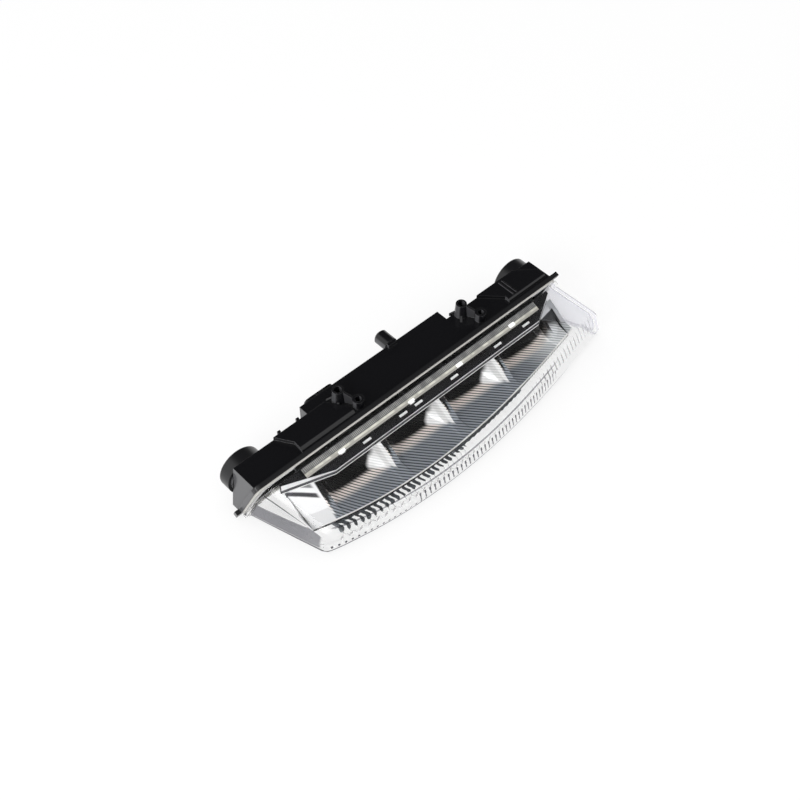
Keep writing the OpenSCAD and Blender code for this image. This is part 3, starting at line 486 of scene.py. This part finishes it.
def reflector_end(mirror):
    """The reflector's right end, run on a little towards the lens wall: a bowl's profile, then its rim."""
    bowl_top, bowl_drop, bowl_depth, rim_drop = -13.6, 10.0, 14.0, 1.4
    rows = []
    for x in (100.4, 102.0, 104.0, 106.0):
        back = 13.0 - 10.4 * (min(x, 102.5) - 83.5) / 19
        front = back + bowl_depth
        rim = nose(x) - RIM_GAP
        row = [(back + bowl_depth * i / 5, bowl_top - bowl_drop * (i / 5) ** 1.2) for i in range(6)]
        row += [(front + (rim - front) * i / 3, bowl_top - bowl_drop - rim_drop * i / 3) for i in (1, 2, 3)]
        rows.append([Vector((x, -JOINT_AHEAD - f, z)) * MM for f, z in row])
    mesh = bmesh.new()
    grid = [[mesh.verts.new(v) for v in row] for row in rows]
    for a, b in zip(grid, grid[1:]):
        for i in range(len(a) - 1):
            mesh.faces.new((a[i], a[i + 1], b[i + 1], b[i]))
    bmesh.ops.solidify(mesh, geom=mesh.faces[:], thickness=1.2 * MM)
    data = bpy.data.meshes.new("reflector_end")
    mesh.to_mesh(data)
    mesh.free()
    piece = bpy.data.objects.new("reflector_end", data)
    bpy.context.scene.collection.objects.link(piece)
    paint(piece, mirror)
    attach(piece, "root")


def reflector():
    mirror, s, bsdf = material("metallised", (0.86, 0.87, 0.89), 0.25, 0.1, Specular_IOR_Level=0.12)
    x, y, z = s.place()
    lines, tone = bowls(s, x, y, z)
    tone = reflector_ends(s, x, ahead(y), tone)
    s.put(bsdf.inputs["Base Color"], reflector_rim(s, x, ahead(y), tone))
    relief(s, bsdf, lines, 0.02)
    paint(NODES["reflector"], mirror)
    reflector_end(mirror)


# BOARD COVER

COVER_BLACK = (0.012, 0.012, 0.014)
# The lip's bright and groove tones are painted reflections.
LIP_BRIGHT_REFLECTION, LIP_GROOVE = (0.97, 0.97, 0.98), (0.12, 0.12, 0.13)
CLIP_WHITE = (0.97, 0.97, 0.97)
COVER_FALL = 0.3548


def board_cover():
    """Near-black, with a bright front lip and a dark groove along it, both painted reflections,
    and bright clips on top.
    """
    cover, s, bsdf = material("cover", COVER_BLACK, 0.25)
    _, y, z = s.place()
    lip = s.facing()[1].step(-0.5, -0.8)
    tone = s.layers(
        COVER_BLACK,
        (lip, LIP_BRIGHT_REFLECTION),
        (lip * z.span(-12.43, -10.02, 0.05), LIP_GROOVE),
        ((z + ahead(y) * COVER_FALL).step(-4.2, -4.1), CLIP_WHITE),
    )
    s.put(bsdf.inputs["Base Color"], tone)
    s.put(bsdf.inputs["Metallic"], lip * 0.2)
    relief(s, bsdf, s.noise(500.0), 0.003, edge=0.15)
    paint(NODES["board_cover"], cover)


# THE REST, MOSTLY HIDDEN
# Each node's colour, roughness and metal.

SCREW = ((0.5, 0.5, 0.52), 0.3, 1.0)
SEAL = ((0.03, 0.03, 0.03), 0.8, 0.0)
PLAIN = {
    "lens_bead": ((0.5, 0.49, 0.46), 0.5, 0.0),
    "heat_sink": ((0.6, 0.61, 0.63), 0.35, 1.0),
    "led_board": ((0.85, 0.85, 0.82), 0.4, 0.0),
    "plate_screws": SCREW,
    "board_screws": SCREW,
    "driver_screws": SCREW,
    "board_link": ((0.6, 0.45, 0.2), 0.5, 0.0),
    "driver_board": ((0.03, 0.18, 0.08), 0.4, 0.0),
    "driver_coil": ((0.03, 0.03, 0.03), 0.6, 0.0),
    "driver_capacitor": ((0.6, 0.6, 0.62), 0.3, 1.0),
    "driver_chips": ((0.02, 0.02, 0.02), 0.5, 0.0),
    "connector_contacts": ((0.75, 0.6, 0.25), 0.3, 1.0),
    "vent_membrane": ((0.85, 0.85, 0.85), 0.9, 0.0),
    "cap_seal_left": SEAL,
    "cap_seal_right": SEAL,
}


def plain_pieces():
    for name, (color, rough, metal) in PLAIN.items():
        mat, s, bsdf = material(name, color, rough, metal)
        relief(s, bsdf, s.noise(800.0), 0.01)
        paint(NODES[name], mat)
    light_source, s, bsdf = material("light_source", (0.9, 0.75, 0.25), 0.4)
    relief(s, bsdf, s.noise(2000.0), 0.01)
    for i in range(4):
        paint(NODES[f"led_{i + 1}"], light_source)


# FLOOR, WORLD AND LIGHT

# Straight at where a level face mirrors the photo's camera to. So the deck mirrors dark at the photo's angle and
# paler from most others.
DARK_TOWARDS = (0.43, 0.46, 0.78)


def pale_floor():
    """Pale paper that keeps the shadow and fades into the white background, also in mirrors and glass."""
    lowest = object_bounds()[0][2]
    bpy.ops.mesh.primitive_plane_add(size=6, location=(0, 0, lowest - 0.2 * MM))
    floor = bpy.context.object
    mat, s, bsdf = material("floor", (0.9, 0.9, 0.9), 0.9)
    path = s.add("ShaderNodeLightPath").outputs
    seen = s.larger(s.larger(path["Is Camera Ray"], path["Is Transmission Ray"]), path["Is Glossy Ray"])
    white = s.add("ShaderNodeEmission", {"Color": (1, 1, 1, 1), "Strength": 1.0})
    s.put(s.out.inputs["Surface"], s.add("ShaderNodeMixShader", {0: seen * 0.75, 1: bsdf, 2: white}))
    paint(floor, mat)


def studio_world():
    """White all round, with a dark ceiling behind the lamp that only glossy surfaces mirror."""
    world = bpy.data.worlds.new("studio")
    world.use_nodes = True
    bpy.context.scene.world = world
    s = Shader(world.node_tree)
    direction = s.add("ShaderNodeTexCoord").outputs["Generated"]
    towards = s.add("ShaderNodeVectorMath", {0: direction, 1: DARK_TOWARDS}, operation="DOT_PRODUCT")
    ceiling = Num(s, towards.outputs["Value"]).step(0.55, 0.85)
    mirrored = s.add("ShaderNodeLightPath").outputs["Is Glossy Ray"]
    strength = 1 - ceiling * mirrored * 0.96
    background = s.add("ShaderNodeBackground", {"Color": (1, 1, 1, 1), "Strength": strength})
    s.add("ShaderNodeOutputWorld", {"Surface": background})


def key_light():
    """One soft lamp at the upper left, turned to the origin."""
    light = bpy.data.lights.new("key", "AREA")
    light.shape = "RECTANGLE"
    light.size, light.size_y = 0.5, 0.4
    light.energy = 5
    lamp = bpy.data.objects.new("key", light)
    bpy.context.scene.collection.objects.link(lamp)
    lamp.location = (-0.9, -0.3, 0.6)
    lamp.rotation_mode = "QUATERNION"
    lamp.rotation_quaternion = (-Vector(lamp.location)).to_track_quat("-Z", "Y")


# CAMERA AT THE PHOTO'S ANGLE

AZIMUTH, ELEVATION = math.radians(-42.95), math.radians(51.03)
DISTANCE = 736.2 * MM
TARGET = Vector((-19.39, -1.96, -20)) * MM


def photo_camera():
    back = Vector((math.sin(AZIMUTH) * math.cos(ELEVATION), -math.cos(AZIMUTH) * math.cos(ELEVATION),
                   math.sin(ELEVATION)))
    right = Vector((math.cos(AZIMUTH), math.sin(AZIMUTH), 0))
    turned = Matrix((right, back.cross(right), back)).transposed().to_4x4()
    camera = bpy.data.objects.new("camera", bpy.data.cameras.new("camera"))
    camera.matrix_world = Matrix.Translation(TARGET + back * DISTANCE) @ turned
    camera.data.sensor_width = 36
    camera.data.lens = 54
    camera.data.clip_start = 0.01
    bpy.context.scene.collection.objects.link(camera)
    bpy.context.scene.camera = camera


def render_settings():
    scene = bpy.context.scene
    scene.view_settings.view_transform = "Standard"
    scene.cycles.max_bounces = 24
    scene.cycles.transmission_bounces = 20
    scene.cycles.glossy_bounces = 8
    scene.cycles.transparent_max_bounces = 16
    scene.cycles.caustics_reflective = True
    scene.cycles.caustics_refractive = True


black_mouldings()
clear_lens()
reflector()
board_cover()
plain_pieces()
pale_floor()
studio_world()
key_light()
photo_camera()
render_settings()
